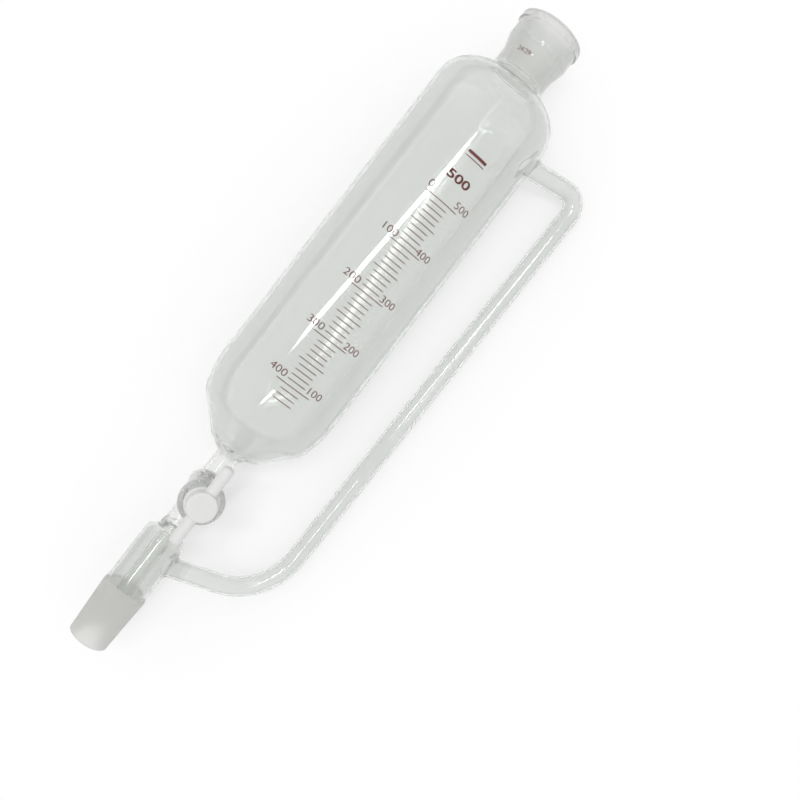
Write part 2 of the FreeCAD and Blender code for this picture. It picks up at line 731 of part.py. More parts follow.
arm_form = make_arm("arm_form", "arm_r")
pieces = [
    (make_glass(arm_form), FreeCAD.Placement()),
    (make_plug(), on_tap("0")),
    (make_bar(), on_tap("bar_height", 90)),
    (make_washer(), on_tap("-washer_place", 180)),
    (make_ring(), on_tap("-ring_place", 180)),
    (make_nut(), on_tap("-nut_place", 180)),
]
lying = lying_placement(arm_form)
for piece, upright in pieces:
    piece.Label = piece.Name
    piece.Placement = lying.multiply(upright)
doc.recompute()

for thing in doc.Objects:
    if "Invalid" in thing.State or "Error" in thing.State:
        raise RuntimeError("%s did not build" % thing.Name)
for piece, upright in pieces:
    if piece.Shape.isNull() or not piece.Shape.isValid() or len(piece.Shape.Solids) != 1:
        raise RuntimeError("%s is not one sound solid" % piece.Label)

os.makedirs("parts", exist_ok=True)
for piece, upright in pieces:
    piece.Shape.exportStep("parts/%s.step" % piece.Label)
    box = piece.Shape.optimalBoundingBox(False, False)
    low = "%.2f %.2f %.2f" % (box.XMin, box.YMin, box.ZMin)
    high = "%.2f %.2f %.2f" % (box.XMax, box.YMax, box.ZMax)
    print("%s: %.1f mm3, from %s to %s" % (piece.Label, piece.Shape.Volume, low, high))
frame = lying.multiply(tap_placement())
handle_way = frame.Rotation.multVec(FreeCAD.Vector(0, 0, 1))
print("funnel axis through y %.4f z %.4f" % (lying.Base.y, lying.Base.z))
print("stopcock at %.4f %.4f %.4f, towards %.5f %.5f %.5f" % (*frame.Base, *handle_way))
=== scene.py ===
# %% [markdown]
# # A pressure-equalizing addition funnel
#
# This funnel drips a liquid into a closed flask. Its long glass reservoir ends in a
# stopcock, and a bent side arm joins the space under the stopcock to the top, so that
# air can trade places with the liquid. Here the solids get their finishes, and the
# things too small for a solid are added: the printed scale, its numerals and a thread.
#
# The solids are loaded first. They already have the right shape and place, so they stay
# as they are, and whatever is added is placed from the same measures.

# %% Load the frame
import math

import bmesh
import bpy
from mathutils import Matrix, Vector


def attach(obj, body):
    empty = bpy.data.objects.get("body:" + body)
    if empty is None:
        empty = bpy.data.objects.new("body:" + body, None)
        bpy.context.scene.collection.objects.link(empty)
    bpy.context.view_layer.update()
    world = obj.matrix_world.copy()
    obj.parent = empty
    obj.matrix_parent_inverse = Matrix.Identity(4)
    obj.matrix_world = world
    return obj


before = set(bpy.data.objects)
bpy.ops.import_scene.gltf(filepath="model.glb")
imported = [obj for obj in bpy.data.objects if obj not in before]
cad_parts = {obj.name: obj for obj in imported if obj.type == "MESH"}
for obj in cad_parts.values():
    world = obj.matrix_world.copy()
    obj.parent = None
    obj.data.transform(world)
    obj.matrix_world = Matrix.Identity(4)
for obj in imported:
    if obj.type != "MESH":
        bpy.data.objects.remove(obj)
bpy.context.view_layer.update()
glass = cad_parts["glass_funnel"]
print("pieces in the frame:", sorted(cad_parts))

# %% [markdown]
# A glassblower works from the free end of the ground cone, and turns everything about
# the funnel's long axis. The same two ideas place the finishes: a height along the axis
# from the cone's end, and a lean about the axis, measured from the top towards the side
# arm. The funnel lies on its side, so "top" is the line that faces the ceiling.

# %% Heights and leans
MM = 0.001
LENGTH = 384.6 * MM
BODY_RADIUS = 33.7 * MM
AXIS_Y = 17.5115 * MM
AXIS_Z = BODY_RADIUS
TAP_HEIGHT = 93.2 * MM


def on_body(height, lean, radius):
    """A point round the long axis, leaning from the top towards the side arm."""
    along = height - LENGTH / 2
    sideways = AXIS_Y - radius * math.sin(lean)
    upwards = AXIS_Z + radius * math.cos(lean)
    return Vector((along, sideways, upwards))


TAP = on_body(TAP_HEIGHT, 0, 0)
print("stopcock at", TAP)

# %% [markdown]
# ## The view
#
# The object lies flat and is seen from straight above, with the camera turned so that
# the funnel runs from the lower left to the upper right. A camera that looks down needs
# only a turn about the vertical, so no target or constraint is used. The lens follows
# from the field of view: 880 image points of focal length on a frame 800 points wide.
# The plain view transform shows each colour as it was mixed.

# %% Camera
SENSOR = 36
FRAME_POINTS = 800
FOCAL_POINTS = 880
EYE_PLACE = (-0.0014, -0.0343, 0.4777)
EYE_TURN = math.radians(-52.45)

eye = bpy.data.cameras.new("eye")
eye.sensor_width = SENSOR
eye.lens = SENSOR * FOCAL_POINTS / FRAME_POINTS
camera = bpy.data.objects.new("camera", eye)
camera.location = EYE_PLACE
camera.rotation_euler = (0, 0, EYE_TURN)
bpy.context.scene.collection.objects.link(camera)
bpy.context.scene.camera = camera
bpy.context.scene.view_settings.view_transform = "Standard"
print(f"lens {eye.lens:.1f} mm")

# %% [markdown]
# ## Materials in general
#
# Every finish below is a small network of nodes. A few helpers keep the networks
# readable. The first ones make an empty material, add a node, and do one step of
# arithmetic between nodes.

# %% Node helpers
def new_material(name):
    """An empty material and its node tree."""
    made = bpy.data.materials.new(name)
    made.use_nodes = True
    made.node_tree.nodes.clear()
    return made, made.node_tree


def plug_in(tree, socket, value):
    """Set a socket to a number or colour, or link it to another node's output."""
    if isinstance(value, bpy.types.NodeSocket):
        tree.links.new(value, socket)
    else:
        socket.default_value = value


def add(tree, kind, sockets=None, **settings):
    """Add a node of a kind, with its settings and its input sockets filled in."""
    made = tree.nodes.new("ShaderNode" + kind)
    for key, value in settings.items():
        setattr(made, key, value)
    for key, value in (sockets or {}).items():
        plug_in(tree, made.inputs[key], value)
    return made


def calc(tree, operation, *values):
    """The result of one arithmetic step between numbers or outputs."""
    made = add(tree, "Math", dict(enumerate(values)), operation=operation)
    return made.outputs[0]


def finish_with(tree, shader):
    """Send a shader to the material's output."""
    add(tree, "OutputMaterial", {"Surface": shader.outputs[0]})


print("node helpers ready")

# %% [markdown]
# The other helpers name the steps that come back in nearly every finish. A soft step
# marks an edge without a hard line, a range turns a pattern into a gloss, and a mix
# turns it into a colour.

# %% Steps, ranges and mixes
def squared(tree, value):
    """A value times itself."""
    return calc(tree, "MULTIPLY", value, value)


def step_up(tree, value, low, high):
    """Rises smoothly from 0 to 1 while the value goes from low to high."""
    made = add(
        tree,
        "MapRange",
        {"Value": value, "From Min": low, "From Max": high},
        interpolation_type="SMOOTHSTEP",
    )
    return made.outputs["Result"]


def between(tree, share, low, high):
    """A number that goes from low to high as the share goes from 0 to 1."""
    made = add(tree, "MapRange", {"Value": share, "To Min": low, "To Max": high})
    return made.outputs["Result"]


def blend_colours(tree, share, first, second):
    """A colour that goes from the first to the second as the share goes from 0 to 1."""
    made = add(tree, "Mix", data_type="RGBA")
    plug_in(tree, made.inputs["Factor"], share)
    plug_in(tree, made.inputs[6], first)
    plug_in(tree, made.inputs[7], second)
    return made.outputs[2]


print("steps, ranges and mixes ready")

# %% [markdown]
# Patterns follow the object's own coordinates, so they stay where they are on the glass
# in any view and at any turn of the stopcock. Relief that is too fine to be modelled
# only tilts the surface.

# %% Patterns and relief
def own_place(tree):
    """Where a point is in the object's own coordinates."""
    return add(tree, "TexCoord").outputs["Object"]


def noise(tree, place, scale, detail=2.0):
    """A cloudy pattern between 0 and 1, with so many clouds to the metre."""
    sockets = {"Vector": place, "Scale": scale, "Detail": detail}
    return add(tree, "TexNoise", sockets).outputs["Fac"]


def bumped(tree, height, distance, strength=1.0, under=None):
    """A surface tilted by a relief in metres, on top of another if one is given."""
    sockets = {"Height": height, "Distance": distance, "Strength": strength}
    if under is not None:
        sockets["Normal"] = under
    return add(tree, "Bump", sockets).outputs["Normal"]


print("patterns and relief ready")

# %% [markdown]
# ## Floor
#
# The funnel lies on a white sheet. The sheet is matt and nearly white, so it takes the
# soft shadow of the glass. To camera rays a small part of it is plain white of strength
# 1, so that the background comes out white without any more light on the object. To
# rays that come through glass that part is larger. It stands for the light that glass
# gathers on what lies under it, which this kind of rendering finds only very slowly.
# Far from the funnel, where the lamps no longer reach, the sheet is plain white.

# %% The floor's white
WHITE = (1, 1, 1, 1)
SHEET_WHITE = (0.97, 0.97, 0.97, 1)
PLAIN_TO_CAMERA = 0.2
PLAIN_THROUGH_GLASS = 0.5
LIT_WITHIN, PLAIN_BEYOND = 0.5, 1.5


def through_glass(tree, rays):
    """1 for a ray that glass has bent or a shiny surface has mirrored, otherwise 0."""
    return calc(tree, "MAXIMUM", rays["Is Glossy Ray"], rays["Is Transmission Ray"])


floor_white, tree = new_material("floor_white")
rays = add(tree, "LightPath").outputs
straight_view = rays["Is Camera Ray"]
glass_view = through_glass(tree, rays)
share = calc(
    tree,
    "MAXIMUM",
    calc(tree, "MULTIPLY", straight_view, PLAIN_TO_CAMERA),
    calc(tree, "MULTIPLY", glass_view, PLAIN_THROUGH_GLASS),
)
from_middle = add(tree, "VectorMath", {0: own_place(tree)}, operation="LENGTH")
far_off = step_up(tree, from_middle.outputs["Value"], LIT_WITHIN, PLAIN_BEYOND)
any_view = calc(tree, "MAXIMUM", straight_view, glass_view)
share = calc(tree, "MAXIMUM", share, calc(tree, "MULTIPLY", any_view, far_off))
lit = add(tree, "BsdfDiffuse", {"Color": SHEET_WHITE})
plain = add(tree, "Emission", {"Color": WHITE, "Strength": 1.0})
mixed = add(tree, "MixShader", {0: share, 1: lit.outputs[0], 2: plain.outputs[0]})
finish_with(tree, mixed)
print("floor plain white beyond", PLAIN_BEYOND, "m")

# %% [markdown]
# The sheet itself is one large square. It is far wider than the funnel, so that its
# edge stays out of sight when the funnel is seen from the side.

# %% Floor
FLOOR_HALF = 4.0

corners = [(-1, -1), (1, -1), (1, 1), (-1, 1)]
points = [(x * FLOOR_HALF, y * FLOOR_HALF, 0) for x, y in corners]
sheet = bpy.data.meshes.new("floor")
sheet.from_pydata(points, [], [(0, 1, 2, 3)])
sheet.materials.append(floor_white)
floor = bpy.data.objects.new("floor", sheet)
bpy.context.scene.collection.objects.link(floor)
print("floor", 2 * FLOOR_HALF, "m wide")

# %% [markdown]
# ## Room and lamps
#
# The room is a plain dome of light, for glass a little darker towards the horizon. A
# photographer puts grey cards beside clear glass for this, because its rims bend in
# what stands at the side, and in an all white room they would vanish. The camera itself
# sees the dome plain white.

# %% Room
ROOM_LIGHT = 0.68
HORIZON = 0.4
WHITE_ABOVE = 0.45

room = bpy.data.worlds.new("room")
room.use_nodes = True
room.node_tree.nodes.clear()
tree = room.node_tree
rays = add(tree, "LightPath").outputs
straight_view = rays["Is Camera Ray"]
any_view = calc(tree, "MAXIMUM", straight_view, through_glass(tree, rays))
way = add(tree, "TexCoord").outputs["Generated"]
upwards = add(tree, "SeparateXYZ", {"Vector": way}).outputs["Z"]
raised = step_up(tree, upwards, 0.0, WHITE_ABOVE)
for_glass = calc(tree, "MULTIPLY_ADD", raised, 1.0 - HORIZON, HORIZON)
in_view = calc(tree, "MAXIMUM", for_glass, straight_view)
extra = calc(tree, "SUBTRACT", in_view, ROOM_LIGHT)
strength = calc(tree, "MULTIPLY_ADD", any_view, extra, ROOM_LIGHT)
dome = add(tree, "Background", {"Color": WHITE, "Strength": strength})
add(tree, "OutputWorld", {"Surface": dome.outputs[0]})
bpy.context.scene.world = room
print("room light", ROOM_LIGHT, "and, seen in glass at the horizon,", HORIZON)

# %% [markdown]
# Lamps do the rest. In glass a lamp is seen as a streak, so its place decides where the
# streak runs. A long narrow lamp at a slant gives the sharp white streak down the
# reservoir, a weaker one gives its soft partner, and a third one draws the fine line
# along the lower half of the side arm. Narrow bright lamps are used because the arm is
# thin, and its line would vanish otherwise. A lamp's power is its brightness times its
# area times pi, so a lamp can be made longer without looking brighter.

# %% Lamps
CEILING = 2.0
LAMPS = [
    ("streak_lamp", (0.65, -0.295), (-0.03, 0.62), 0.15, 20),
    ("soft_streak_lamp", (0.53, -0.47), (0.0, -1.13), 0.2, 2.6),
    ("arm_lamp", (-0.22, -0.05), (-0.84, 0.12), 0.12, 20),
]


def strip_lamp(name, start, end, width, brightness):
    """A straight lamp on the ceiling, facing down, of some width and brightness."""
    start, end = Vector((*start, CEILING)), Vector((*end, CEILING))
    run = end - start
    light = bpy.data.lights.new(name, "AREA")
    light.shape = "RECTANGLE"
    light.size = run.length
    light.size_y = width
    light.energy = brightness * math.pi * run.length * width
    lamp = bpy.data.objects.new(name, light)
    lamp.location = (start + end) / 2
    lamp.rotation_euler = (0, 0, math.atan2(run.y, run.x))
    bpy.context.scene.collection.objects.link(lamp)


for lamp_facts in LAMPS:
    strip_lamp(*lamp_facts)
print(len(LAMPS), "lamps,", CEILING, "m up")

# %% [markdown]
# ## Glass
#
# The whole funnel is one piece of blown glass, so one material covers it. Clear glass
# bends and mirrors light, and its walls take a little of it: seen against white, the
# reservoir looks pale grey with a touch of green. A see-through material without
# bending would be quicker, but it would lose the double lines along the side arm.
#
# Two places are ground instead of clear: the outside of the cone, and the inside of
# the socket. They are found by height and by distance from the long axis, where a
# surface in the middle of the wall parts inside from outside. Ground glass is the same
# glass with a rough skin, so only its gloss, clearness, tint and relief change.

# %% Where the glass is ground
RAGGED_SCALE, RAGGED_BY = 900, 1.6 * MM
CONE_GROUND_TO, CONE_EDGE = 32.6 * MM, 0.5 * MM
CONE_MID_WALL, CONE_SLOPE = 9.75 * MM, 0.05
SOCKET_GROUND_FROM, SOCKET_EDGE = 355.6 * MM, 0.8 * MM
SOCKET_MID_WALL = 12.5 * MM

clear_glass, tree = new_material("blown_glass")
place = own_place(tree)
split = add(tree, "SeparateXYZ", {"Vector": place}).outputs
height = calc(tree, "ADD", split["X"], LENGTH / 2)
side = squared(tree, calc(tree, "SUBTRACT", split["Y"], AXIS_Y))
rise = squared(tree, calc(tree, "SUBTRACT", split["Z"], AXIS_Z))
reach = calc(tree, "SQRT", calc(tree, "ADD", side, rise))

ragged = calc(tree, "SUBTRACT", noise(tree, place, RAGGED_SCALE), 0.5)
ragged = calc(tree, "MULTIPLY", ragged, RAGGED_BY)
height_here = calc(tree, "ADD", height, ragged)

below = step_up(tree, height_here, CONE_GROUND_TO + CONE_EDGE, CONE_GROUND_TO)
mid_wall = calc(tree, "MULTIPLY_ADD", height, CONE_SLOPE, CONE_MID_WALL)
outside = calc(tree, "GREATER_THAN", reach, mid_wall)
ground_cone = calc(tree, "MULTIPLY", below, outside)

edge_to = SOCKET_GROUND_FROM + SOCKET_EDGE
above = step_up(tree, height_here, SOCKET_GROUND_FROM, edge_to)
inside = calc(tree, "LESS_THAN", reach, SOCKET_MID_WALL)
ground_socket = calc(tree, "MULTIPLY", above, inside)
ground = calc(tree, "MAXIMUM", ground_cone, ground_socket)
print("cone ground up to", CONE_GROUND_TO, "socket ground from", SOCKET_GROUND_FROM)

# %% [markdown]
# Where two tubes were fused, the glass keeps a faint ripple all round. A ripple is
# relief, not colour, so it is made with bump: rings at the heights of the seals, broken
# up by noise. Each ring is a bell curve, given by its height and its spread in
# millimetres. Blown glass is never quite true either, so a slow wave runs over all of
# it, and the ground places get a fine grit. All three are shallow, a tenth of a
# millimetre or so.

# %% Seal marks and the blown surface
SEALS = [
    (73.6, 1.0),
    (79.0, 0.8),
    (117.2, 0.9),
    (121.0, 1.0),
    (354.5, 0.9),
    (371.5, 0.8),
]
NARROW_WITHIN = 20 * MM
BROKEN_SCALE, BROKEN_FROM, BROKEN_TO = 180, 0.45, 0.6
WAVE_SCALE, WAVE_HEIGHT, WAVE_STRENGTH = 22, 0.1 * MM, 0.5
GRIT_SCALE = 9000
MARK_PART, GRIT_PART, RELIEF_HEIGHT = 0.14, 0.05, 1.0 * MM

near_axis = calc(tree, "LESS_THAN", reach, NARROW_WITHIN)
marks = 0.0
for seal_height, spread in SEALS:
    off = calc(tree, "SUBTRACT", height_here, seal_height * MM)
    off = calc(tree, "DIVIDE", off, spread * MM)
    ring = calc(tree, "EXPONENT", calc(tree, "MULTIPLY", squared(tree, off), -1))
    marks = calc(tree, "ADD", marks, ring)
broken = noise(tree, place, BROKEN_SCALE, 0.0)
broken = step_up(tree, broken, BROKEN_FROM, BROKEN_TO)
marks = calc(tree, "MULTIPLY", calc(tree, "MULTIPLY", marks, near_axis), broken)

slow_wave = noise(tree, place, WAVE_SCALE, 1.0)
wavy = bumped(tree, slow_wave, WAVE_HEIGHT, WAVE_STRENGTH)
grit = calc(tree, "MULTIPLY", noise(tree, place, GRIT_SCALE, 3.0), ground)
grit = calc(tree, "MULTIPLY", grit, GRIT_PART)
relief = calc(tree, "ADD", calc(tree, "MULTIPLY", marks, MARK_PART), grit)
skin = bumped(tree, relief, RELIEF_HEIGHT, under=wavy)
print(len(SEALS), "seal marks")

# %% [markdown]
# In the barrel the plug bears on the glass all round, so there is no air between them,
# and the white plug shows through the wall without a second mirror image. The solids
# stay a hair apart, as running parts must, and their two skins are too close together
# to be drawn one behind the other. So the skin of the barrel's bore lets all light
# straight through. It is found by its distance from the plug's axis, which grows
# towards the handle, because the bore is tapered.

# %% Where the plug bears on the glass
HANDLE_WAY = Vector((0, -0.29941, 0.95412))
BORE_RADIUS = 5.75 * MM
BORE_SLOPE = 0.1
BORE_MARGIN = 0.5 * MM

from_tap = add(tree, "VectorMath", {0: place, 1: TAP}, operation="SUBTRACT").outputs[0]
forward = add(tree, "VectorMath", {0: from_tap, 1: HANDLE_WAY}, operation="DOT_PRODUCT")
forward = forward.outputs["Value"]
away = add(tree, "VectorMath", {0: from_tap}, operation="LENGTH").outputs["Value"]
off_axis = calc(tree, "SUBTRACT", squared(tree, away), squared(tree, forward))
off_axis = calc(tree, "SQRT", off_axis)
bore_edge = BORE_RADIUS + BORE_MARGIN
bore_here = calc(tree, "MULTIPLY_ADD", forward, BORE_SLOPE, bore_edge)
bearing = calc(tree, "LESS_THAN", off_axis, bore_here)
print("bore radius in the middle", BORE_RADIUS)

# %% [markdown]
# The same glass looks darker where its wall is thicker, so the tint differs by place.
# The reservoir is clear, and the short tubes below the stopcock are thicker and darker.
# What lies near the long axis, such as the drip tube, is paler, because it is seen
# through other walls. The ground cone is the greyest. The places are found as the
# ground ones are.

# %% Glass tints
CLEAR_TINT = (0.90, 0.912, 0.898, 1)
TUBE_TINT = (0.83, 0.842, 0.828, 1)
INNER_TINT = (0.96, 0.965, 0.955, 1)
CONE_TINT = (0.70, 0.70, 0.675, 1)
SOCKET_TINT = (0.77, 0.772, 0.755, 1)
TUBES_END_BELOW = 80 * MM
INNER_FROM, INNER_TO = 11 * MM, 8 * MM

lower = calc(tree, "LESS_THAN", height, TUBES_END_BELOW)
tubes = calc(tree, "MULTIPLY", lower, near_axis)
inner = step_up(tree, reach, INNER_FROM, INNER_TO)
tint = blend_colours(tree, tubes, CLEAR_TINT, TUBE_TINT)
tint = blend_colours(tree, inner, tint, INNER_TINT)
tint = blend_colours(tree, ground_cone, tint, CONE_TINT)
tint = blend_colours(tree, ground_socket, tint, SOCKET_TINT)
print("tubes are darker below", TUBES_END_BELOW)

# %% [markdown]
# Light from a lamp would be blocked by bending glass, and would leave a black shadow.
# Real glass lets most of it through, so for shadow rays the material turns into a plain
# tinted window. The eye never sees the difference, and the floor gets its pale shadow.
# A small share of that window is kept for all rays. Where several walls meet, light
# that only bends gets lost between them and leaves black specks, and the share of
# light that goes straight on keeps such places as pale as they are in real glass.

# %% Glass finish
SHADOW_TINT = (0.87, 0.875, 0.87, 1)
STRAIGHT_SHARE = 0.12
GLASS_IOR = 1.47
CLEAR_ROUGHNESS, GROUND_ROUGHNESS = 0.015, 0.7
GROUND_CLEARNESS = 0.55

bent = add(
    tree,
    "BsdfPrincipled",
    {
        "Base Color": tint,
        "Roughness": between(tree, ground, CLEAR_ROUGHNESS, GROUND_ROUGHNESS),
        "IOR": GLASS_IOR,
        "Transmission Weight": between(tree, ground, 1.0, GROUND_CLEARNESS),
        "Normal": skin,
    },
)
window = add(tree, "BsdfTransparent", {"Color": SHADOW_TINT})
rays = add(tree, "LightPath").outputs
unseen = calc(tree, "MAXIMUM", rays["Is Shadow Ray"], rays["Is Diffuse Ray"])
straight = calc(tree, "MAXIMUM", unseen, STRAIGHT_SHARE)
walls = add(tree, "MixShader", {0: straight, 1: bent.outputs[0], 2: window.outputs[0]})
passing = add(tree, "BsdfTransparent", {"Color": WHITE})
whole = add(tree, "MixShader", {0: bearing, 1: walls.outputs[0], 2: passing.outputs[0]})
finish_with(tree, whole)
glass.material_slots[0].material = clear_glass
print("glass finished")

# %% [markdown]
# ## Stopcock plug, handle and washer
#
# These are turned and moulded from a waxy white fluoropolymer. It is not a hard white
# like paint: light goes a little way in, and the sheen is soft. A little scattering
# under the surface gives that, and very fine turning marks keep it from looking like
# plaster.

# %% White plastic finish
WAX_DARK, WAX_PALE = (0.69, 0.70, 0.69, 1), (0.75, 0.75, 0.74, 1)
WAX_CLOUDS, WAX_DEPTH = 160, 0.8 * MM
TURNING_SCALE, TURNING_HEIGHT = 2600, 0.02 * MM

waxy_white, tree = new_material("waxy_white")
place = own_place(tree)
turning = noise(tree, place, TURNING_SCALE, 3.0)
clouds = noise(tree, place, WAX_CLOUDS)
waxy = add(
    tree,
    "BsdfPrincipled",
    {
        "Base Color": blend_colours(tree, clouds, WAX_DARK, WAX_PALE),
        "Roughness": between(tree, turning, 0.34, 0.5),
        "IOR": 1.35,
        "Subsurface Weight": 0.25,
        "Subsurface Radius": (1.0, 1.0, 1.0),
        "Subsurface Scale": WAX_DEPTH,
        "Normal": bumped(tree, turning, TURNING_HEIGHT),
    },
)
finish_with(tree, waxy)
for name in ("stopcock_plug", "handle_bar", "sealing_washer"):
    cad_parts[name].material_slots[0].material = waxy_white
print("white plastic on the plug, the handle and the washer")

# %% [markdown]
# ## O-ring
#
# The ring under the nut is a small rubber O-ring, matt and nearly black. The dust of
# its mould release makes it paler and duller in places, so one pattern drives both.

# %% Rubber finish
RUBBER_BLACK, RUBBER_DUSTY = (0.018, 0.018, 0.018, 1), (0.05, 0.05, 0.048, 1)
DUST_SCALE, RUBBER_GRAIN, RUBBER_HEIGHT = 700, 4000, 0.02 * MM

rubber, tree = new_material("black_rubber")
place = own_place(tree)
dust = noise(tree, place, DUST_SCALE)
grain = noise(tree, place, RUBBER_GRAIN)
dusty = add(
    tree,
    "BsdfPrincipled",
    {
        "Base Color": blend_colours(tree, dust, RUBBER_BLACK, RUBBER_DUSTY),
        "Roughness": between(tree, dust, 0.5, 0.7),
        "Normal": bumped(tree, grain, RUBBER_HEIGHT),
    },
)
finish_with(tree, dusty)
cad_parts["o_ring"].material_slots[0].material = rubber
print("rubber finished")

# %% [markdown]
# ## Tension nut
#
# The nut is moulded in a harder white plastic than the plug, so it is brighter and more
# even, with a gloss that shows its flutes.

# %% Nut finish
NUT_DARK, NUT_PALE = (0.80, 0.80, 0.79, 1), (0.85, 0.85, 0.84, 1)
NUT_CLOUDS, NUT_GRAIN, NUT_HEIGHT = 300, 1500, 0.01 * MM

moulded_white, tree = new_material("moulded_white")
place = own_place(tree)
clouds = noise(tree, place, NUT_CLOUDS)
grain = noise(tree, place, NUT_GRAIN)
moulded = add(
    tree,
    "BsdfPrincipled",
    {
        "Base Color": blend_colours(tree, clouds, NUT_DARK, NUT_PALE),
        "Roughness": between(tree, clouds, 0.22, 0.32),
        "Normal": bumped(tree, grain, NUT_HEIGHT),
    },
)
finish_with(tree, moulded)
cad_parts["tension_nut"].material_slots[0].material = moulded_white
print("nut finished")

# %% [markdown]
# ## Printed scale
#
# The scale is a dark red enamel, printed on the outside of the reservoir and fired. It
# is a little worn, so its red and its gloss vary.

# %% Ink finish
INK_DARK, INK_WORN = (0.085, 0.015, 0.013, 1), (0.15, 0.030, 0.026, 1)
WORN_SCALE = 1500

ink, tree = new_material("fired_red_ink")
worn = noise(tree, own_place(tree), WORN_SCALE)
fired = add(
    tree,
    "BsdfPrincipled",
    {
        "Base Color": blend_colours(tree, worn, INK_DARK, INK_WORN),
        "Roughness": between(tree, worn, 0.35, 0.5),
    },
)
finish_with(tree, fired)
print("ink mixed")

# %% [markdown]
# Fired ink has a real, though tiny, thickness. Each line is drawn flat first, with
# width measured round the glass and height along it, and then wrapped onto the glass.
# That keeps the drawing simple, and the wrapping is done once for lines and numerals
# alike. A round body is drawn with flat facets, and ink laid on a perfect cylinder
# would dip under them, so a ray finds the glass anew for each point.

# %% Wrapping on the glass
INK_LIFT = 0.015 * MM
INK_THICKNESS = 0.035 * MM


def glass_radius(height, lean):
    """How far the outside of the glass is from the long axis, found with a ray."""
    centre = on_body(height, lean, 0)
    outside = on_body(height, lean, 2 * BODY_RADIUS)
    hit = glass.ray_cast(outside, (centre - outside).normalized())[1]
    return (hit - centre).length


def print_on_glass(name, flat, radius=BODY_RADIUS):
    """Wrap flat artwork, x round the glass and y along it, and give it its ink."""
    for point in flat.vertices:
        x, y, z = point.co
        lean = x / radius
        point.co = on_body(y, lean, glass_radius(y, lean) + INK_LIFT + z)
    flat.materials.clear()
    flat.materials.append(ink)
    printed = bpy.data.objects.new(name, flat)
    bpy.context.scene.collection.objects.link(printed)
    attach(printed, "glass")


print("ink layer", INK_THICKNESS, "m")

# %% [markdown]
# A printed line is a long thin box. It is cut into short steps, because only the
# corners of a mesh can follow the round glass.

# %% Bars
BAR_STEPS = 16


def bars(name, boxes):
    """Flat closed bars, each given as left, right, middle height and line width."""
    points, faces = [], []
    for left, right, middle, width in boxes:
        low, high = middle - width / 2, middle + width / 2
        section = [(low, 0), (high, 0), (high, INK_THICKNESS), (low, INK_THICKNESS)]
        first = len(points)
        last = first + 4 * BAR_STEPS
        for step in range(BAR_STEPS + 1):
            x = left + (right - left) * step / BAR_STEPS
            points += [(x, y, z) for y, z in section]
        for a in range(first, last, 4):
            for k in range(4):
                n = (k + 1) % 4
                faces.append((a + k, a + k + 4, a + n + 4, a + n))
        faces.append((first, first + 1, first + 2, first + 3))
        faces.append((last + 3, last + 2, last + 1, last))
    flat = bpy.data.meshes.new(name)
    flat.from_pydata(points, [], faces)
    flat.validate()
    return flat


print("bars are cut into", BAR_STEPS, "steps")

# %% [markdown]
# The scale counts both ways: one row of numbers says how much is left, the other how
# much has run out. Every tenth line is long, every fifth is longer than its neighbours,
# and the column leans a little more towards the side arm at its top than at its foot,
# as it was printed. Below the last number the reservoir narrows, and the lines stop.

# %% Scale lines
ZERO_HEIGHT = 276.5 * MM
LINE_STEP = 2.795 * MM
LINE_COUNT = 44
LINE_WIDTH = 0.42 * MM
LEAN_AT_ZERO = math.radians(18.3)
LEAN_AT_FORTY = math.radians(15.2)
HALF_LONG = math.radians(16.3)
HALF_FIVE = math.radians(12.1)
HALF_SHORT = math.radians(8.5)

lines = []
for count in range(LINE_COUNT):
    lean = LEAN_AT_ZERO + (LEAN_AT_FORTY - LEAN_AT_ZERO) * count / 40
    half = HALF_SHORT
    if count % 5 == 0:
        half = HALF_FIVE
    if count % 10 == 0:
        half = HALF_LONG
    left, right = (lean - half) * BODY_RADIUS, (lean + half) * BODY_RADIUS
    lines.append((left, right, ZERO_HEIGHT - count * LINE_STEP, LINE_WIDTH))
print_on_glass("scale_lines", bars("scale_lines", lines))
print(len(lines), "lines on the scale")

# %% [markdown]
# ## Numerals
#
# Numerals start as text, because a font already has good shapes. The text becomes a
# mesh, gets its thin layer of ink, and is wrapped like the lines. Text comes in a size
# for the whole letter, so the wanted height of a digit is divided by its share of it.

# %% Numerals from text
DIGIT_SHARE = 0.70
SAME_POINT = 1e-7


def thicken(flat):
    """Give a flat outline its layer of ink, as a closed solid."""
    grown = bmesh.new()
    grown.from_mesh(flat)
    bmesh.ops.remove_doubles(grown, verts=grown.verts, dist=SAME_POINT)
    top = bmesh.ops.extrude_face_region(grown, geom=grown.faces[:])
    raised = [part for part in top["geom"] if isinstance(part, bmesh.types.BMVert)]
    bmesh.ops.translate(grown, vec=(0, 0, INK_THICKNESS), verts=raised)
    bmesh.ops.recalc_face_normals(grown, faces=grown.faces[:])
    grown.to_mesh(flat)
    grown.free()


def numeral(name, words, lean, height, tall, bold=0.0, stretch=1.2, radius=BODY_RADIUS):
    """Printed words, centred at a lean in degrees and a height, with digits so tall."""
    art = bpy.data.curves.new(name, "FONT")
    art.body = words
    art.align_x = "CENTER"
    art.align_y = "CENTER"
    art.size = tall / DIGIT_SHARE
    art.offset = bold
    art.resolution_u = 4
    holder = bpy.data.objects.new(name + "_art", art)
    bpy.context.scene.collection.objects.link(holder)
    ready = holder.evaluated_get(bpy.context.evaluated_depsgraph_get())
    flat = bpy.data.meshes.new_from_object(ready)
    bpy.data.objects.remove(holder)
    bpy.data.curves.remove(art)
    flat.name = name
    thicken(flat)
    for point in flat.vertices:
        point.co.x = point.co.x * stretch + math.radians(lean) * radius
        point.co.y += height
    print_on_glass(name, flat, radius)


print("a digit fills", DIGIT_SHARE, "of the size of its text")

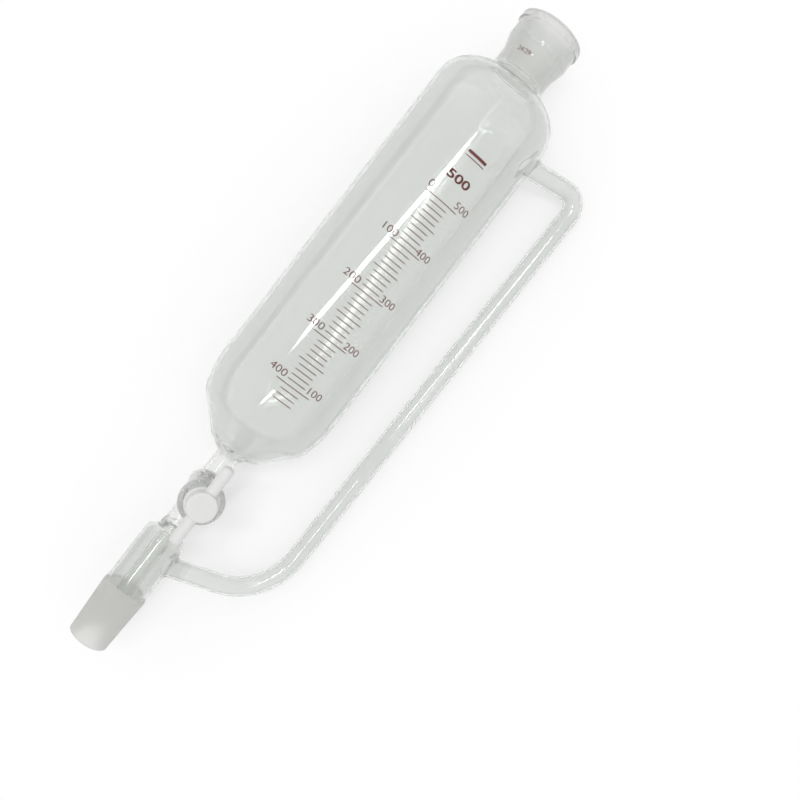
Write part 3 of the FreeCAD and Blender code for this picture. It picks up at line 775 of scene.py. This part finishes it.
# %% [markdown]
# Each number has its own place, given as a lean in degrees and a height in millimetres.
# The small numbers are a thin print, so their outline is shrunk a little. The large
# number near the top is the volume of the reservoir, and its outline is grown, which is
# how a bold weight is made.

# %% The numbers of the scale
DIGIT, THIN = 3.7 * MM, -0.03 * MM
VOLUME_DIGIT, BOLD = 4.2 * MM, 0.14 * MM
RUN_OUT = [
    ("0", 3.2, 280.2),
    ("100", -1.0, 251.3),
    ("200", -2.2, 223.4),
    ("300", -2.4, 195.8),
    ("400", -3.4, 168.1),
]
LEFT_IN = [
    ("500", 36.7, 279.8),
    ("400", 34.4, 251.2),
    ("300", 34.9, 223.4),
    ("200", 34.9, 195.4),
    ("100", 32.6, 168.0),
]
for row, numbers in (("run_out_", RUN_OUT), ("left_in_", LEFT_IN)):
    for words, lean, middle in numbers:
        numeral(row + words, words, lean, middle * MM, DIGIT, bold=THIN)
numeral("volume_500", "500", 18.6, 289.4 * MM, VOLUME_DIGIT, bold=BOLD, stretch=1.5)
print(len(RUN_OUT) + len(LEFT_IN) + 1, "numerals")

# %% [markdown]
# Two more marks complete the print. Above the large number there is room for a label,
# and a plain pair of bars fills it. The socket is marked with its size, the standard
# taper's wide diameter and length in millimetres. The neck flares there, so the ray
# that finds the glass matters: the digits follow the flare without being fitted to it.

# %% Plain bars and the joint's size
LABEL_FROM = math.radians(10.5) * BODY_RADIUS
LABEL_TO = math.radians(29.5) * BODY_RADIUS
LABEL = [
    (LABEL_FROM, LABEL_TO, 303.2 * MM, 1.5 * MM),
    (LABEL_FROM, LABEL_TO, 300.9 * MM, 0.45 * MM),
]
NECK_RADIUS = 14.8 * MM
SIZE_LEAN, SIZE_HEIGHT, SIZE_DIGIT = -17, 363.4 * MM, 2.3 * MM

print_on_glass("label_bars", bars("label_bars", LABEL))
numeral(
    "joint_size",
    "24/29",
    SIZE_LEAN,
    SIZE_HEIGHT,
    SIZE_DIGIT,
    stretch=1.0,
    radius=NECK_RADIUS,
)
found = glass_radius(SIZE_HEIGHT, math.radians(SIZE_LEAN))
print("neck radius at the digits", found)

# %% [markdown]
# ## Thread on the plug's tail
#
# The nut turns on a thread at the thin end of the plug. One side of the tail is flat,
# so that the washer can't turn with the nut, and the thread stops at that flat. It is a
# single ridge that climbs 1.5 mm each turn. It could be cut with a screw modifier and a
# boolean, but a ridge laid on the tail, one arc for each turn, is shorter and leaves
# the solid as it is.

# %% One arc of the thread
FLAT_WAY = Vector((0, 0.95412, 0.29941))
LONG_WAY = Vector((1, 0, 0))
THREAD_FROM, THREAD_TURNS, THREAD_PITCH = 14.8 * MM, 5, 1.5 * MM
FOOT, CREST = 2.97 * MM, 3.06 * MM
PROFILE = [
    (-0.45 * MM, FOOT),
    (-0.15 * MM, CREST),
    (0.15 * MM, CREST),
    (0.45 * MM, FOOT),
]
FLAT_HALF = math.radians(39)
ARC_STEPS = 24


def arc_points(turn, step):
    """The four points of the ridge's profile at one step of one turn."""
    angle = FLAT_HALF + (2 * math.pi - 2 * FLAT_HALF) * step / ARC_STEPS
    way = FLAT_WAY * math.cos(angle) + LONG_WAY * math.sin(angle)
    back = THREAD_FROM + THREAD_PITCH * (turn + angle / (2 * math.pi))
    points = []
    for off, radius in PROFILE:
        points.append(TAP - HANDLE_WAY * (back + off) + way * radius)
    return points


def add_arc(grown, turn):
    """One turn of the ridge, from one edge of the flat round to the other."""
    rings = []
    for step in range(ARC_STEPS + 1):
        rings.append([grown.verts.new(place) for place in arc_points(turn, step)])
    for here, there in zip(rings, rings[1:]):
        for k in range(4):
            n = (k + 1) % 4
            grown.faces.new((here[k], here[n], there[n], there[k]))
    grown.faces.new(reversed(rings[0]))
    grown.faces.new(rings[-1])


print("thread pitch", THREAD_PITCH)

# %% [markdown]
# The arcs are one piece of the same white plastic, and it rides with the plug.

# %% Tail thread
grown = bmesh.new()
for turn in range(THREAD_TURNS):
    add_arc(grown, turn)
bmesh.ops.recalc_face_normals(grown, faces=grown.faces[:])
ridge = bpy.data.meshes.new("tail_thread")
grown.to_mesh(ridge)
grown.free()
ridge.materials.append(waxy_white)
tail_thread = bpy.data.objects.new("tail_thread", ridge)
bpy.context.scene.collection.objects.link(tail_thread)
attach(tail_thread, "stopcock")
print(THREAD_TURNS, "turns of thread,", len(ridge.polygons), "faces")
